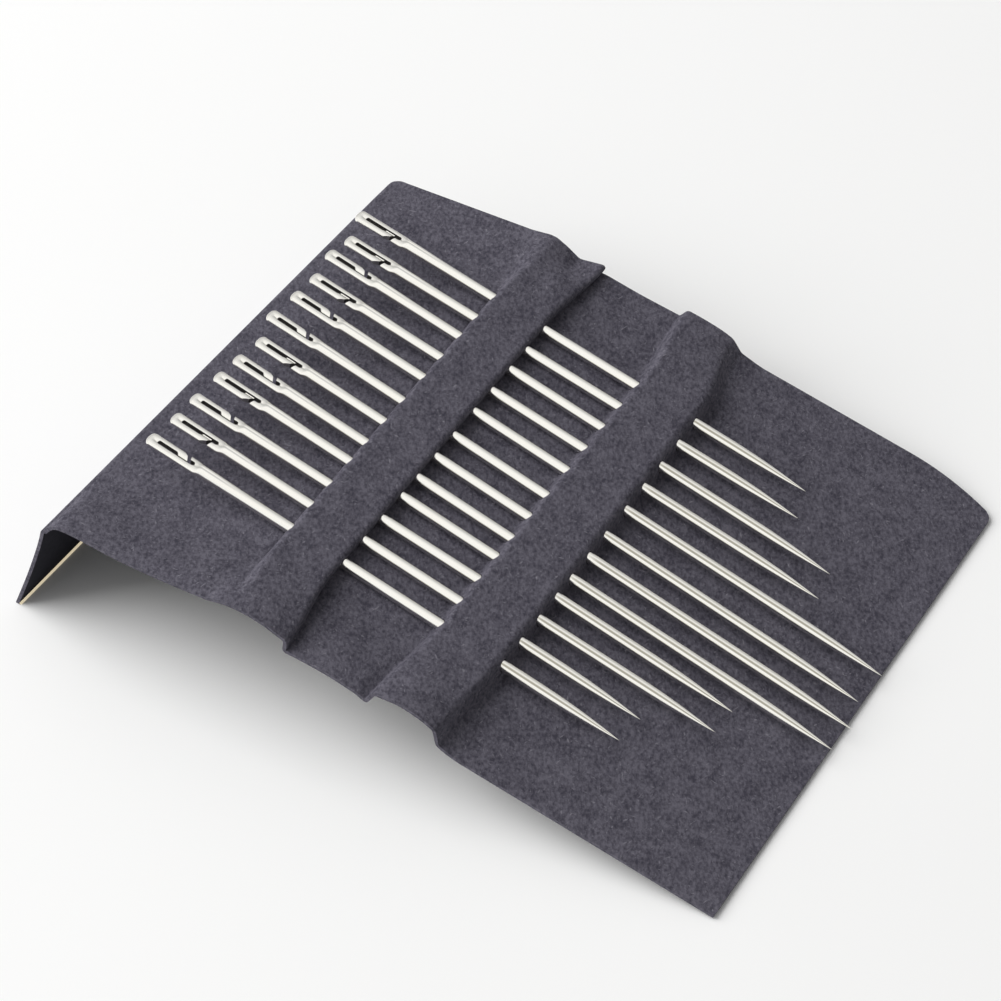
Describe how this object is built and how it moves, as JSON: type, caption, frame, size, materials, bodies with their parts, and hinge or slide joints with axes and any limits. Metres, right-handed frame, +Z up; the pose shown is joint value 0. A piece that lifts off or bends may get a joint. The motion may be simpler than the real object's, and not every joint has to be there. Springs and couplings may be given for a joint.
{
  "type": "self-threading needle set",
  "caption": "Folded dark paper needle card standing like a low tent, with a row of side-notch self-threading steel needles that slide out of its raised bands.",
  "frame": {"origin": "on the surface that the card stands on, under the middle of the set's bounding box", "axes": "+X along the needles from their eyes to their points, +Y along the card's folds to the far side, +Z up"},
  "size_m": [0.0518, 0.0402, 0.0106],
  "materials": {
    "card": "matt uncoated charcoal paper with fine fibres",
    "needle": "polished nickel-plated steel"
  },
  "bodies": {
    "bed": {"first_band": "card", "middle_panel": "card", "second_band": "card"},
    "eye_panel": {"eye_panel": "card"},
    "prop_flap": {"prop_flap": "card"},
    "point_panel": {"point_panel": "card"},
    "needle_01": {"needle_01": "needle"},
    "needle_02": {"needle_02": "needle"},
    "needle_03": {"needle_03": "needle"},
    "needle_04": {"needle_04": "needle"},
    "needle_05": {"needle_05": "needle"},
    "needle_06": {"needle_06": "needle"},
    "needle_07": {"needle_07": "needle"},
    "needle_08": {"needle_08": "needle"},
    "needle_09": {"needle_09": "needle"},
    "needle_10": {"needle_10": "needle"},
    "needle_11": {"needle_11": "needle"},
    "needle_12": {"needle_12": "needle"}
  },
  "joints": [
    {"name": "eye_panel_fold", "type": "hinge", "parent": "bed", "child": "eye_panel", "pos_m": [-0.01014, 0, 0.00758], "axis": [0, 1, 0], "range_deg": [-80, 9.5]},
    {"name": "prop_flap_fold", "type": "hinge", "parent": "eye_panel", "child": "prop_flap", "pos_m": [-0.02223, 0, 0.00798], "axis": [0.0297, 0.9996, 0], "range_deg": [-85, 60]},
    {"name": "point_panel_fold", "type": "hinge", "parent": "bed", "child": "point_panel", "pos_m": [0.0069, 0, 0.00379], "axis": [0, 1, 0], "range_deg": [-1, 90]},
    {"name": "needle_01_slide", "type": "slide", "parent": "bed", "child": "needle_01", "axis": [0.9788, -0.0408, -0.2009], "range_m": [-0.025, 0.0031]},
    {"name": "needle_02_slide", "type": "slide", "parent": "bed", "child": "needle_02", "axis": [0.9788, -0.0391, -0.2009], "range_m": [-0.0256, 0.0024]},
    {"name": "needle_03_slide", "type": "slide", "parent": "bed", "child": "needle_03", "axis": [0.978, -0.0558, -0.2008], "range_m": [-0.0295, 0.0028]},
    {"name": "needle_04_slide", "type": "slide", "parent": "bed", "child": "needle_04", "axis": [0.9783, -0.0508, -0.2008], "range_m": [-0.0298, 0.0024]},
    {"name": "needle_05_slide", "type": "slide", "parent": "bed", "child": "needle_05", "axis": [0.9779, -0.0593, -0.2007], "range_m": [-0.036, 0.0026]},
    {"name": "needle_06_slide", "type": "slide", "parent": "bed", "child": "needle_06", "axis": [0.9775, -0.0658, -0.2006], "range_m": [-0.0357, 0.0029]},
    {"name": "needle_07_slide", "type": "slide", "parent": "bed", "child": "needle_07", "axis": [0.9778, -0.0605, -0.2007], "range_m": [-0.0364, 0.0022]},
    {"name": "needle_08_slide", "type": "slide", "parent": "bed", "child": "needle_08", "axis": [0.9778, -0.0595, -0.2007], "range_m": [-0.0361, 0.0025]},
    {"name": "needle_09_slide", "type": "slide", "parent": "bed", "child": "needle_09", "axis": [0.9781, -0.0541, -0.2008], "range_m": [-0.0296, 0.0026]},
    {"name": "needle_10_slide", "type": "slide", "parent": "bed", "child": "needle_10", "axis": [0.9787, -0.042, -0.2009], "range_m": [-0.0295, 0.0028]},
    {"name": "needle_11_slide", "type": "slide", "parent": "bed", "child": "needle_11", "axis": [0.9785, -0.0461, -0.2009], "range_m": [-0.0252, 0.0028]},
    {"name": "needle_12_slide", "type": "slide", "parent": "bed", "child": "needle_12", "axis": [0.9788, -0.0408, -0.2009], "range_m": [-0.025, 0.0031]}
  ]
}
